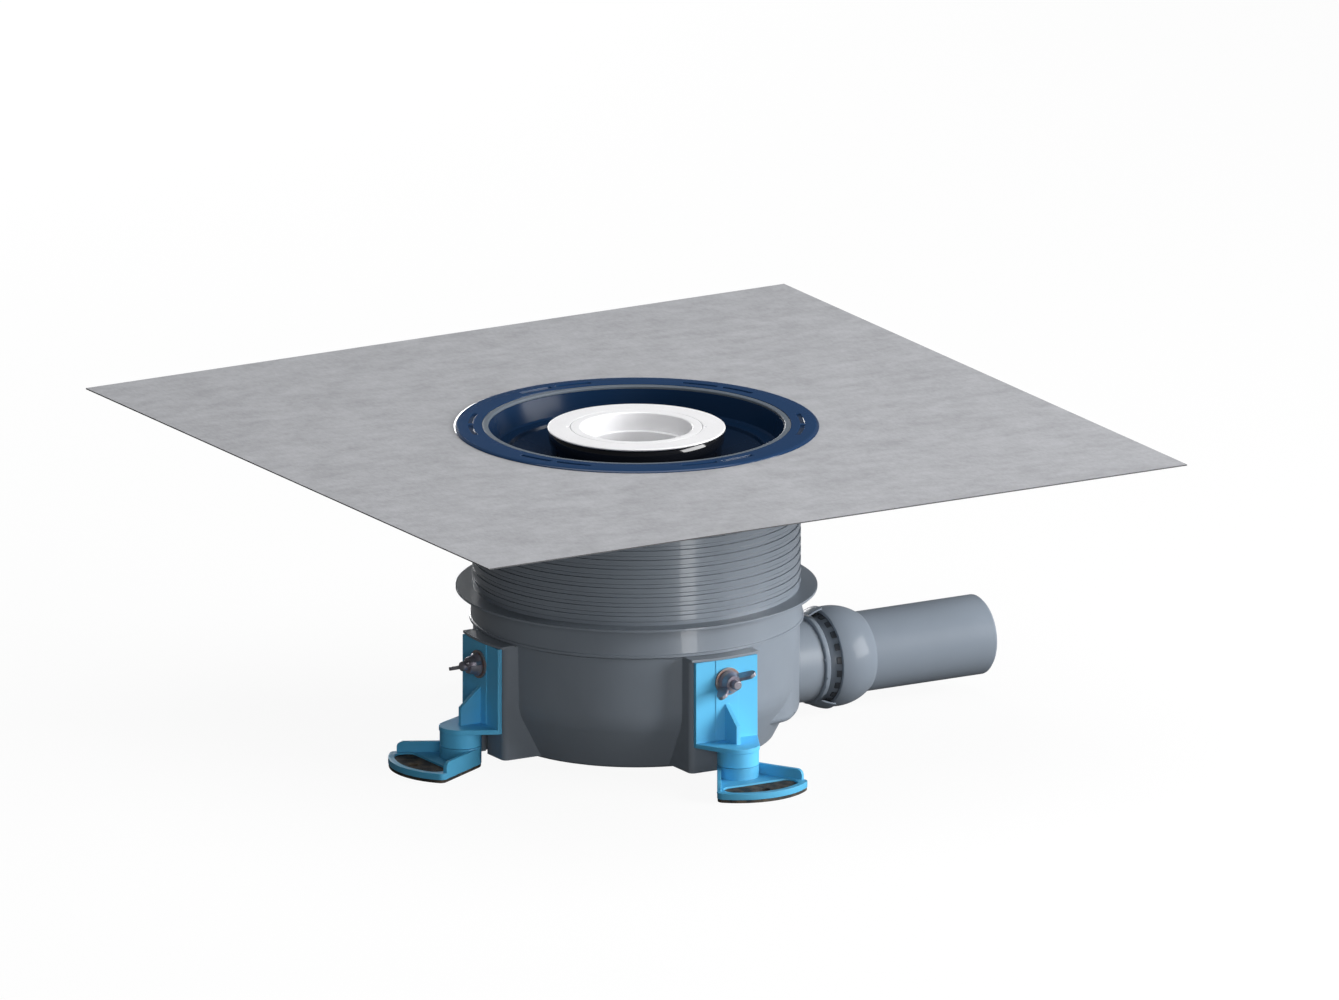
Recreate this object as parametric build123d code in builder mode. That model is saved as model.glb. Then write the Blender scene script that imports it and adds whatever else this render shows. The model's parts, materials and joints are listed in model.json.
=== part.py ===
"""Shower drain body: floor drain with a height-adjustable frame of three feet, a square
sealing sheet, a lift-out odour trap and a side outlet that turns in a ball joint.

Millimetres, +Z up. The origin is on the floor, under the middle of the bowl. The outlet
pipe leaves along +X. Parts that repeat round the bowl are drawn once with their radial
direction along +X and turned to the three sides.
"""
import os
from math import cos, radians, sin, sqrt

from build123d import *

os.makedirs("parts", exist_ok=True)

# Clearances
fit_gap = 0.3
slide_gap = 0.2
turn_gap = 0.08
seal_gap = 0.1

# Sealing sheet
sheet_side = 500.0
sheet_t = 0.8
sheet_top = 201.0

# Riser. The ring, the bowl and all that stands on the bowl follow its radius
riser_r = 102.0
riser_wall = 3.8
rib_pitch = 6.0
rib_width = 3.0
rib_depth = 0.8
riser_flange_w = 10.3
riser_flange_t = 1.5
riser_flange_rise = 21.3
riser_flange_round = 0.6
rim_w = 1.5
rim_h = 2.2
rim_chamfer = 0.5
parting_z = 78.5
skirt_wall = 1.4
skirt_room = 1.0

# Adapter ring on the sheet
ring_t = 1.5
ring_edge_round = 0.6
ring_outer_w = 10.6
ring_inner_w = 7.1
slot_len = 23.5
slot_w = 2.8
slot_gap = 3.5
slot_depth = 1.0
slot_pairs = 6
rim_seal_w = 3.9
rim_seal_h = 1.9
rim_seal_round = 0.8
rebate_w = 4.3
collar_gap = 0.6
collar_h = 5.0
collar_slope = 2.0
waist_wall = 1.3
groove_depth = 4.6
groove_lip = 1.6
riser_seal_drop = 7.0
riser_seal_h = 6.8
riser_seal_round = 1.0
well_wall = 6.6
well_draft = 3.3
well_depth = 15.5
ledge_w = 8.3
ledge_lip = 2.4
ledge_draft = 1.0
ledge_round = 0.8
well_round = 2.0
floor_t = 2.6
funnel_land = 5.0
funnel_drop = 10.5
well_ribs = 6
rib_t = 2.0
rib_h = 4.0
rib_sink = 0.8
rib_below_ledge = 1.0

# Bowl
bowl_step = 0.5
bowl_draft = 0.5
bowl_wall = 4.0
bowl_floor_t = 3.0
bowl_bend_z = 36.0
bowl_bend_round = 30.0
bowl_taper = 16.5
bowl_bottom_z = 4.0
bowl_bottom_round = 4.0
spigot_h = 16.5
body_seal_rise = 8.5
body_seal_h = 3.0
body_seal_round = 0.7
body_groove = 1.6
bulge_bottom_z = 20.0
bulge_top_z = 48.0
bulge_start_x = 30.0
bulge_start_in = 17.8
bulge_end_in = 30.3
bulge_side_round = 20.0
bulge_round = 4.0

# Bracket pads on the bowl
pad_reach = 7.8
pad_width = 48.0
pad_corner = 3.5
pad_bottom = 6.0
pad_rise = 0.8
pad_wall = 3.0
pad_root = 24.5
lip_reach = 4.2
lip_t = 1.6
lip_root = 12.0
tee_lip = 3.0

# Outlet neck, ball joint and pipe
outlet_z = 35.0
neck_r = 26.0
neck_reach = 18.9
neck_root = 25.0
neck_wall = 3.0
ball_r = 27.9
ball_bore_r = 20.4
ball_tube_wall = 3.0
ball_front = 12.0
ball_reach = 19.1
collar_over = 1.8
collar_t = 3.6
collar_round = 1.0
ear_root = 1.0
spigot_in = 19.0
socket_over = 3.6
socket_wall = 2.1
socket_rim = 8.0
ring_face = 10.6
ring_end = 5.0
seal_width = 5.0
ring_notches = 20
notch_w = 4.2
notch_depth = 3.0
ear_half_angle = 20.0
ear_centre_angle = 107.0
ear_t = 1.2
ear_reach = 7.0
pipe_r = 25.0
pipe_wall = 3.0
pipe_length = 106.0
pipe_chamfer = 1.8

# Odour trap
trap_drop = 0.2
trap_flange_r = 55.25
trap_flange_t = 1.5
trap_flange_edge = 0.7
trap_flange_round = 0.5
trap_snap_h = 7.0
trap_snap_t = 1.8
trap_seal_t = 1.5
trap_seal_round = 0.5
trap_seal_over = 1.2
cup_over = 2.8
cup_wall = 2.5
cup_low_r = 50.2
cup_height = 104.3
cup_round = 8.0
cup_windows = 6
window_w = 30.0
window_rise = 55.0
window_h = 18.0
dip_lip_w = 6.3
dip_lip_h = 10.8
dip_lip_room = 0.6
dip_lip_round = 0.4
dip_mouth_round = 1.0
dip_r = 34.6
dip_low_r = 32.0
dip_wall = 2.0
dip_step_h = 10.3
dip_end_rise = 17.0
insert_seal_t = 1.5
seat_lip = 1.6
seat_w = 2.6
grip_w = 3.0
grip_depth = 0.8

# Bracket, foot and fastener
plate_width = 44.0
plate_t = 3.0
plate_bottom = 26.0
band_width = 16.0
band_t = 0.5
shelf_t = 3.0
shelf_nose_over = 0.5
leg_r = 13.0
leg_reach = 14.0
gusset_t = 3.0
gusset_h = 23.6
gusset_nose_h = 11.4
gusset_nose_over = 0.7
leg_split_z = 13.5
spindle_r = 6.0
spindle_h = 7.6
tray_r = 45.0
tray_half_angle = 30.0
tray_bottom = 2.0
tray_top = 6.0
tray_corner = 4.5
wall_t = 2.5
wall_top = 12.6
wall_root = 1.0
wall_inset = 3.4
wall_corner = 4.0
recess_in = 21.0
recess_out = 41.0
recess_half = 25.0
recess_round = 6.0
rubber_top = 5.0
screw_hole_r = 3.0
screw_hole_x = 34.0
bolt_drop = 14.0
bolt_r = 3.0
bolt_reach = 14.0
bolt_chamfer = 0.6
bolt_head = 10.0
bolt_head_t = 3.9
washer_r = 8.8
washer_t = 1.6
hub_r = 6.2
hub_len = 7.0
hub_foot = 1.2
wing_tip_r = 14.5
wing_reach = 13.0
wing_t = 2.2
wing_tip_w = 4.8
wing_lift = 0.7
wing_round = 2.3

# The three sides that carry a bracket, with the turn of each wing nut
SIDES = {"front": (-90.0, 28.0), "left": (180.0, 19.0), "back": (90.0, 40.0)}


def save(piece, name):
    """Label a finished piece and write it as parts/name.step."""
    piece.label = name
    export_step(piece, f"parts/{name}.step")


def outline(points, rounds=None):
    """A flat face through the points; rounds gives a corner radius by the point's index."""
    with BuildSketch() as shape:
        with BuildLine():
            Polyline(*points, close=True)
        make_face()
        for index, size in (rounds or {}).items():
            fillet(shape.vertices().sort_by_distance(points[index])[0], size)
    return shape.sketch_local


def on_sphere(radius, x):
    """Distance from the pipe's axis to a sphere of that radius, x from its middle."""
    return sqrt(radius**2 - x**2)


def upright(angle):
    """The upright plane through the bowl's axis, turned from +X by the angle."""
    turn = radians(angle)
    return Plane(origin=(0, 0, 0), x_dir=(cos(turn), sin(turn), 0), z_dir=(sin(turn), -cos(turn), 0))


def along_pipe(angle=0.0):
    """The plane through the pipe's axis at the ball's middle, tilted from flat by the angle."""
    turn = radians(angle)
    return Plane(origin=(ball_x, 0, outlet_z), x_dir=(1, 0, 0), z_dir=(0, -sin(turn), cos(turn)))


# Heights and radii that several parts share
riser_in_r = riser_r - riser_wall
riser_top = sheet_top - sheet_t - slide_gap
riser_flange_r = riser_r + riser_flange_w
riser_flange_top = parting_z + riser_flange_rise
rim_r = riser_r + rim_w
skirt_in_r = riser_r - skirt_wall
spigot_r = skirt_in_r - fit_gap
spigot_top = parting_z + spigot_h
ring_top = sheet_top + ring_t
ledge_z = ring_top - well_depth
seat_z = ledge_z - funnel_drop
collar_out_r = riser_in_r - collar_gap
riser_seal_z = ledge_z - riser_seal_drop
well_r = riser_in_r - well_wall
well_low_r = well_r - well_draft
ledge_r = well_low_r - ledge_w
rebate_r = well_r + rebate_w
rebate_z = ring_top - rim_seal_h - slide_gap
slot_ring_r = rebate_r + ring_inner_w
ring_r = slot_ring_r + ring_outer_w
trap_top = sheet_top - trap_drop
cup_top = trap_top - trap_flange_t
cup_r = cup_low_r + cup_over
cup_bottom_z = cup_top - cup_height
cup_seat_z = seat_z + trap_seal_t
socket_hole_r = cup_low_r + fit_gap
funnel_r = cup_r + funnel_land
bowl_top_r = riser_r - bowl_step
bowl_r = bowl_top_r - bowl_draft
bowl_in_r = bowl_r - bowl_wall
bowl_bottom_r = bowl_r - bowl_taper
pad_face_r = bowl_r + pad_reach
pad_root_r = bowl_bottom_r - pad_root
pad_top = parting_z + pad_rise
lip_r = pad_face_r + lip_reach
plate_in = pad_face_r + slide_gap
plate_out = plate_in + plate_t
plate_top = pad_top - lip_t - slide_gap
bolt_z = plate_top - bolt_drop
leg_x = plate_out + leg_reach
neck_end_x = bowl_r + neck_reach
ball_x = neck_end_x + ball_reach
pipe_end_x = ball_x + pipe_length

# Sealing sheet
with BuildPart() as sheet:
    with BuildSketch(Plane.XY.offset(sheet_top - sheet_t)):
        Rectangle(sheet_side, sheet_side)
        Circle(collar_out_r + slide_gap, mode=Mode.SUBTRACT)
    extrude(amount=sheet_t)
save(sheet.part, "sealing_sheet")

# Ring on the sheet, with its well, seal groove, ledge and funnel
groove_in_r = riser_in_r - groove_depth
groove_top = riser_seal_z + riser_seal_h / 2 + slide_gap / 2
groove_low = riser_seal_z - riser_seal_h / 2 - slide_gap / 2
ring_points = [
    (well_r, rebate_z),
    (rebate_r, rebate_z),
    (rebate_r, ring_top),
    (ring_r, ring_top),
    (ring_r, sheet_top),
    (collar_out_r, sheet_top),
    (collar_out_r, sheet_top - collar_h),
    (groove_in_r + waist_wall, sheet_top - collar_h - collar_slope),
    (groove_in_r + waist_wall, groove_top + groove_lip),
    (collar_out_r, groove_top + groove_lip),
    (collar_out_r, groove_top),
    (groove_in_r, groove_top),
    (groove_in_r, groove_low),
    (collar_out_r, groove_low),
    (collar_out_r, groove_low - groove_lip),
    (well_low_r + floor_t, groove_low - groove_lip),
    (well_low_r + floor_t, ledge_z - floor_t),
    (ledge_r + ledge_draft, ledge_z - floor_t),
    (ledge_r, ledge_z - ledge_lip - floor_t),
    (funnel_r + ledge_draft, seat_z - floor_t),
    (socket_hole_r, seat_z - floor_t),
    (socket_hole_r, seat_z),
    (funnel_r, seat_z),
    (ledge_r - ledge_draft, ledge_z - ledge_lip),
    (ledge_r, ledge_z),
    (well_low_r, ledge_z),
]
with BuildPart() as ring:
    with BuildSketch(Plane.XZ):
        add(outline(ring_points, {3: ring_edge_round, 24: ledge_round, 25: well_round}))
    revolve(axis=Axis.Z)
    # Ribs that stiffen the funnel
    funnel_slope = (funnel_drop - ledge_lip) / (ledge_r - ledge_draft - funnel_r)
    rib_in = funnel_r + rib_t
    rib_out = ledge_r - ledge_draft / 2
    rib_points = [
        (rib_in, seat_z + funnel_slope * (rib_in - funnel_r) - rib_sink),
        (rib_out, seat_z + funnel_slope * (rib_out - funnel_r) - rib_sink),
        (rib_out, ledge_z - rib_below_ledge),
        (rib_in + rib_below_ledge, seat_z + rib_h),
    ]
    for index in range(well_ribs):
        with BuildSketch(upright((index + 0.5) * 360 / well_ribs)):
            add(outline(rib_points))
        extrude(amount=rib_t / 2, both=True)
    # Short slots in pairs round the flange
    slot_half = slot_gap / 2 + slot_len / 2
    with BuildSketch(Plane.XY.offset(ring_top)):
        for pair in range(slot_pairs):
            for side in (-1, 1):
                middle = (pair + 0.5) * 360 / slot_pairs + side * slot_half / radians(slot_ring_r)
                half = (slot_len - slot_w) / 2 / radians(slot_ring_r)
                arc = Edge.make_circle(slot_ring_r, start_angle=middle - half, end_angle=middle + half)
                SlotArc(arc, slot_w)
    extrude(amount=-slot_depth, mode=Mode.SUBTRACT)
save(ring.part, "adapter_ring")

# Grey lip in the ring's inner rebate
with BuildPart() as rim_seal:
    lip_in = rebate_r - rim_seal_w
    lip_points = [
        (lip_in, rebate_z),
        (rebate_r - seal_gap, rebate_z),
        (rebate_r - seal_gap, rebate_z + rim_seal_h),
        (lip_in, rebate_z + rim_seal_h),
    ]
    with BuildSketch(Plane.XZ):
        add(outline(lip_points, {2: rim_seal_round, 3: rim_seal_round}))
    revolve(axis=Axis.Z)
save(rim_seal.part, "rim_seal")

# Seal between the ring's collar and the riser
with BuildPart() as riser_seal:
    seal_low = riser_seal_z - riser_seal_h / 2
    seal_high = riser_seal_z + riser_seal_h / 2
    seal_points = [
        (groove_in_r + seal_gap, seal_low),
        (collar_out_r, seal_low),
        (riser_in_r - seal_gap, riser_seal_z),
        (collar_out_r, seal_high),
        (groove_in_r + seal_gap, seal_high),
    ]
    with BuildSketch(Plane.XZ):
        add(outline(seal_points, {2: riser_seal_round}))
    revolve(axis=Axis.Z)
save(riser_seal.part, "riser_seal")

# Ribbed riser with its flange and skirt
with BuildPart() as riser:
    root_r = riser_r - rib_depth
    rib_count = int((riser_top - riser_flange_top - rib_width) // rib_pitch)
    ribs = []
    for index in range(rib_count):
        rib_low = riser_flange_top + rib_width + index * rib_pitch
        ribs += [(root_r, rib_low), (riser_r, rib_low), (riser_r, rib_low + rib_width)]
        ribs += [(root_r, rib_low + rib_width)]
    flange_low = riser_flange_top - riser_flange_t
    riser_points = [
        (riser_in_r, riser_top),
        (riser_in_r, spigot_top + skirt_room),
        (skirt_in_r, spigot_top + skirt_room),
        (skirt_in_r, parting_z),
        (rim_r, parting_z),
        (rim_r, parting_z + rim_h),
        (rim_r - rim_chamfer, parting_z + rim_h + rim_chamfer),
        (riser_r, flange_low),
        (riser_flange_r, flange_low),
        (riser_flange_r, riser_flange_top),
        (root_r, riser_flange_top),
        *ribs,
        (root_r, riser_top),
    ]
    with BuildSketch(Plane.XZ):
        add(outline(riser_points, {8: riser_flange_round, 9: riser_flange_round}))
    revolve(axis=Axis.Z)
save(riser.part, "riser")

# Seal between the bowl's spigot and the riser's skirt
body_seal_z = parting_z + body_seal_rise
with BuildPart() as body_seal:
    inner = spigot_r - body_groove + seal_gap
    outer = skirt_in_r - seal_gap
    half = body_seal_h / 2 - seal_gap
    seal_points = [
        (inner, body_seal_z - half),
        (outer, body_seal_z - half),
        (outer, body_seal_z + half),
        (inner, body_seal_z + half),
    ]
    with BuildSketch(Plane.XZ):
        add(outline(seal_points, {1: body_seal_round, 2: body_seal_round}))
    revolve(axis=Axis.Z)
save(body_seal.part, "body_seal")

# Bowl with its spigot, bracket pads, outlet bulge and neck
bowl_points = [
    (0, bowl_bottom_z),
    (bowl_bottom_r, bowl_bottom_z),
    (bowl_r, bowl_bend_z),
    (bowl_top_r, parting_z),
    (spigot_r, parting_z),
    (spigot_r, body_seal_z - body_seal_h / 2),
    (spigot_r - body_groove, body_seal_z - body_seal_h / 2),
    (spigot_r - body_groove, body_seal_z + body_seal_h / 2),
    (spigot_r, body_seal_z + body_seal_h / 2),
    (spigot_r, spigot_top),
    (0, spigot_top),
]
bowl_cavity = [
    (0, bowl_bottom_z + bowl_floor_t),
    (bowl_bottom_r - bowl_floor_t, bowl_bottom_z + bowl_floor_t),
    (bowl_in_r, bowl_bend_z),
    (bowl_in_r, spigot_top),
    (0, spigot_top),
]


def bulge(inset, low):
    """The fuller side of the bowl that holds the outlet, moved in by the inset."""
    start = (bulge_start_x, bowl_r - bulge_start_in - inset)
    end = (bowl_r + bulge_round, bowl_r - bulge_end_in - inset)
    with BuildPart() as solid:
        with BuildSketch(Plane.XY.offset(low)) as plan:
            Circle(bowl_r - inset)
            with BuildLine():
                Polyline(start, end, (end[0], -end[1]), (start[0], -start[1]), close=True)
            make_face(mode=Mode.INTERSECT)
            fillet(plan.vertices().group_by(Axis.X)[-1], bulge_side_round)
        extrude(amount=bulge_top_z - low)
        rim = solid.faces().sort_by(Axis.Z)[0].edges().sort_by(Axis.X)[1:]
        fillet(rim, bulge_round)
    return solid.part


tee_half = bolt_head / 2 + fit_gap
tee_in = pad_face_r - tee_lip
tee_top = bolt_z + bolt_head / 2 + fit_gap
three_sides = {"count": 3, "start_angle": 90, "angular_range": 180, "endpoint": True}
with BuildPart() as bowl:
    with BuildSketch(Plane.XY.offset(pad_bottom)):
        with PolarLocations((pad_root_r + pad_face_r) / 2, **three_sides):
            RectangleRounded(pad_face_r - pad_root_r, pad_width, pad_corner)
    extrude(amount=pad_top - pad_bottom)
    # Lip that overhangs the bracket's upper edge
    with BuildSketch(Plane.XY.offset(pad_top - lip_t)):
        with PolarLocations(lip_r - lip_root / 2, **three_sides):
            Rectangle(lip_root, pad_width)
        Circle(lip_r, mode=Mode.INTERSECT)
    extrude(amount=lip_t)
    # Cores beside the slot, open downwards
    core_low = tee_half + pad_wall
    core_high = pad_width / 2 - pad_wall
    with BuildSketch(Plane.XY.offset(pad_bottom)):
        with PolarLocations((pad_root_r + pad_face_r - pad_wall) / 2, **three_sides):
            with Locations((0, (core_low + core_high) / 2), (0, -(core_low + core_high) / 2)):
                Rectangle(pad_face_r - pad_wall - pad_root_r, core_high - core_low)
    extrude(amount=pad_top - lip_t - pad_wall - pad_bottom, mode=Mode.SUBTRACT)
    # Slot for the stud's square head, and its narrow mouth
    with BuildSketch(Plane.XY.offset(pad_bottom)):
        with PolarLocations((pad_root_r + tee_in) / 2, **three_sides):
            Rectangle(tee_in - pad_root_r, 2 * tee_half)
        with PolarLocations(pad_face_r, **three_sides):
            Rectangle(3 * tee_lip, 2 * (bolt_r + fit_gap))
    extrude(amount=tee_top - pad_bottom, mode=Mode.SUBTRACT)
    # Room for the riser's rim above the parting plane
    with BuildSketch(Plane.XY.offset(parting_z)):
        Circle(rim_r + fit_gap)
    extrude(amount=spigot_h, mode=Mode.SUBTRACT)
    with BuildSketch(Plane.XZ):
        add(outline(bowl_points, {1: bowl_bottom_round, 2: bowl_bend_round}))
    revolve(axis=Axis.Z)
    add(bulge(0, bulge_bottom_z))
    with BuildSketch(Plane.YZ.offset(bowl_r - neck_root)):
        with Locations((0, outlet_z)):
            Circle(neck_r)
    extrude(amount=neck_root + neck_reach)
    # Inside of the bowl, the bulge and the neck
    with BuildSketch(Plane.XZ):
        add(outline(bowl_cavity, {1: bowl_bottom_round, 2: bowl_bend_round - bowl_wall}))
    revolve(axis=Axis.Z, mode=Mode.SUBTRACT)
    add(bulge(bowl_wall, bulge_bottom_z + bowl_floor_t), mode=Mode.SUBTRACT)
    with BuildSketch(Plane.YZ.offset(bowl_r - neck_root)):
        with Locations((0, outlet_z)):
            Circle(neck_r - neck_wall)
    extrude(amount=neck_root + neck_reach, mode=Mode.SUBTRACT)
save(bowl.part, "bowl")

# Ball on its own short tube, pushed into the neck up to the collar
pipe_axis = Axis((ball_x, 0, outlet_z), (1, 0, 0))
collar_back = neck_end_x + fit_gap - ball_x
collar_front = collar_back + collar_t
ball_tube_r = ball_bore_r + ball_tube_wall
insert_r = neck_r - neck_wall - seal_gap
collar_r = neck_r + collar_over
socket_r = ball_r + socket_over
ball_outline = [
    (collar_back - spigot_in, ball_bore_r),
    (collar_back - spigot_in, insert_r),
    (collar_back, insert_r),
    (collar_back, collar_r),
    (collar_front, collar_r),
    (collar_front, ball_tube_r),
    (0, ball_tube_r),
    (0, ball_bore_r),
]
ear_in = socket_r + fit_gap
ear_out = ear_in + ear_t
ear_start = 180 - ear_centre_angle - ear_half_angle
ear_length = -ear_reach - collar_back - ear_root
with BuildPart() as ball_spigot:
    with BuildSketch(along_pipe()):
        Circle(ball_r)
        with Locations(((collar_front + ball_front) / 2, ball_r)):
            Rectangle(ball_front - collar_front, 2 * (ball_r - ball_bore_r), mode=Mode.INTERSECT)
        add(outline(ball_outline, {3: collar_round, 4: collar_round}))
    revolve(axis=pipe_axis)
    # Two ears on the collar that reach over the socket's rim
    for turn in (0, 180):
        with BuildSketch(along_pipe(ear_start + turn)):
            Circle(ear_out)
            Circle(ear_in, mode=Mode.SUBTRACT)
            with Locations((-ear_reach - ear_length / 2, ear_out)):
                Rectangle(ear_length, 2 * ear_out, mode=Mode.INTERSECT)
        revolve(axis=pipe_axis, revolution_arc=2 * ear_half_angle)
save(ball_spigot.part, "ball_spigot")


def sphere_zone(inner, outer, start, end):
    """Half section of a ring between two spheres, cut off at two places along the pipe."""
    with BuildSketch() as zone:
        Circle(outer)
        Circle(inner, mode=Mode.SUBTRACT)
        with Locations(((start + end) / 2, outer)):
            Rectangle(end - start, 2 * outer, mode=Mode.INTERSECT)
    return zone.sketch_local


# Seal and notched ring between the ball and its socket
socket_in_r = socket_r - socket_wall
liner_in_r = ball_r + fit_gap
liner_out_r = socket_in_r - fit_gap
with BuildPart() as ball_seal:
    with BuildSketch(along_pipe()):
        add(sphere_zone(liner_in_r, liner_out_r, 0, seal_width))
    revolve(axis=pipe_axis)
save(ball_seal.part, "ball_seal")

with BuildPart() as ball_ring:
    with BuildSketch(along_pipe()):
        add(sphere_zone(liner_in_r, liner_out_r, -ring_face, -ring_end))
    revolve(axis=pipe_axis)
    with BuildSketch(Plane.YZ.offset(ball_x - ring_face)):
        with Locations((0, outlet_z)):
            with PolarLocations(ball_r, ring_notches):
                Rectangle(4 * liner_out_r / ball_r, notch_w)
    extrude(amount=notch_depth, mode=Mode.SUBTRACT)
save(ball_ring.part, "ball_ring")

# Ball socket and outlet pipe
pipe_in_r = pipe_r - pipe_wall
pipe_start = on_sphere(socket_in_r + socket_wall / 2, pipe_r - pipe_wall / 2)
pipe_len = pipe_end_x - ball_x
pipe_outline = [
    (pipe_start, pipe_in_r),
    (pipe_len, pipe_in_r),
    (pipe_len, pipe_r - pipe_chamfer),
    (pipe_len - pipe_chamfer, pipe_r),
    (pipe_start - pipe_wall, pipe_r),
    (pipe_start - pipe_wall, pipe_in_r),
]
with BuildPart() as outlet_pipe:
    with BuildSketch(along_pipe()):
        add(sphere_zone(socket_in_r, socket_r, -socket_rim, on_sphere(socket_in_r, pipe_in_r)))
        with BuildLine():
            Polyline(*pipe_outline, close=True)
        make_face()
    revolve(axis=pipe_axis)
    with BuildSketch(along_pipe()):
        Circle(socket_in_r)
        with Locations((0, -socket_r)):
            Rectangle(4 * socket_r, 2 * socket_r, mode=Mode.SUBTRACT)
    revolve(axis=pipe_axis, mode=Mode.SUBTRACT)
save(outlet_pipe.part, "outlet_pipe")

# Seal that the trap cup stands on
with BuildPart() as trap_seal:
    seal_points = [
        (socket_hole_r + seal_gap, seat_z),
        (cup_r + trap_seal_over, seat_z),
        (cup_r + trap_seal_over, seat_z + trap_seal_t),
        (socket_hole_r + seal_gap, seat_z + trap_seal_t),
    ]
    with BuildSketch(Plane.XZ):
        add(outline(seal_points, {1: trap_seal_round, 2: trap_seal_round}))
    revolve(axis=Axis.Z)
save(trap_seal.part, "trap_seal")

# Trap cup: rests on its seal, hangs into the bowl, and overflows through its windows
with BuildPart() as trap_cup:
    cup_points = [
        (0, cup_bottom_z),
        (cup_low_r, cup_bottom_z),
        (cup_low_r, cup_seat_z),
        (cup_r, cup_seat_z),
        (cup_r, cup_top),
        (cup_r - cup_wall, cup_top),
        (cup_r - cup_wall, cup_seat_z + cup_wall),
        (cup_low_r - cup_wall, cup_seat_z),
        (cup_low_r - cup_wall, cup_bottom_z + cup_wall),
        (0, cup_bottom_z + cup_wall),
    ]
    with BuildSketch(Plane.XZ):
        add(outline(cup_points, {1: cup_round, 8: cup_round - cup_wall}))
    revolve(axis=Axis.Z)
    with BuildSketch(Plane.XY.offset(cup_bottom_z + window_rise)):
        with PolarLocations(cup_low_r, cup_windows):
            Rectangle(4 * cup_wall, window_w)
    extrude(amount=window_h, mode=Mode.SUBTRACT)
save(trap_cup.part, "trap_cup")

# White flange on the cup, with the seat for the dip tube
dip_lip_r = dip_r + dip_lip_w
collar_in_r = dip_lip_r + fit_gap
collar_low_z = trap_top - dip_lip_h - insert_seal_t - trap_flange_t
snap_r = cup_r - cup_wall - fit_gap
with BuildPart() as trap_flange:
    flange_points = [
        (collar_in_r, trap_top),
        (trap_flange_r, trap_top),
        (trap_flange_r, trap_top - trap_flange_edge),
        (trap_flange_r - trap_flange_edge, cup_top),
        (snap_r, cup_top),
        (snap_r, cup_top - trap_snap_h),
        (snap_r - trap_snap_t, cup_top - trap_snap_h),
        (snap_r - trap_snap_t, cup_top),
        (collar_in_r + dip_wall, cup_top),
        (collar_in_r + dip_wall, collar_low_z - seat_lip),
        (collar_in_r - seat_w, collar_low_z - seat_lip),
        (collar_in_r - seat_w, collar_low_z),
        (collar_in_r, collar_low_z),
    ]
    with BuildSketch(Plane.XZ):
        add(outline(flange_points, {1: trap_flange_round}))
    revolve(axis=Axis.Z)
    # Two notches to grip the tube's lip
    with BuildSketch(Plane.XY.offset(trap_top)):
        with PolarLocations(collar_in_r, 2, start_angle=-30):
            Rectangle(grip_w, 2 * grip_w)
    extrude(amount=-grip_depth, mode=Mode.SUBTRACT)
save(trap_flange.part, "trap_flange")

# Seal under the dip tube's lip
with BuildPart() as insert_seal:
    seal_points = [
        (collar_in_r - slide_gap - dip_wall, collar_low_z),
        (collar_in_r - slide_gap, collar_low_z),
        (collar_in_r - slide_gap, collar_low_z + insert_seal_t),
        (collar_in_r - slide_gap - dip_wall, collar_low_z + insert_seal_t),
    ]
    with BuildSketch(Plane.XZ):
        add(outline(seal_points, {1: trap_seal_round, 2: trap_seal_round}))
    revolve(axis=Axis.Z)
save(insert_seal.part, "insert_seal")

# Dip tube: hangs in the cup and dips under the water
dip_step_z = cup_top - dip_step_h
dip_end_z = cup_bottom_z + dip_end_rise
with BuildPart() as dip_tube:
    dip_points = [
        (dip_r, trap_top),
        (dip_lip_r, trap_top),
        (dip_lip_r, collar_low_z + insert_seal_t),
        (dip_lip_r - dip_wall, collar_low_z + insert_seal_t),
        (dip_lip_r - dip_wall, cup_top - dip_lip_room),
        (dip_r + dip_wall, cup_top - dip_lip_room),
        (dip_r + dip_wall, dip_step_z),
        (dip_low_r + dip_wall, dip_step_z - dip_wall),
        (dip_low_r + dip_wall, dip_end_z),
        (dip_low_r, dip_end_z),
        (dip_low_r, dip_step_z),
        (dip_r, dip_step_z),
    ]
    with BuildSketch(Plane.XZ):
        add(outline(dip_points, {0: dip_mouth_round, 1: dip_lip_round}))
    revolve(axis=Axis.Z)
save(dip_tube.part, "dip_tube")

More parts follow.
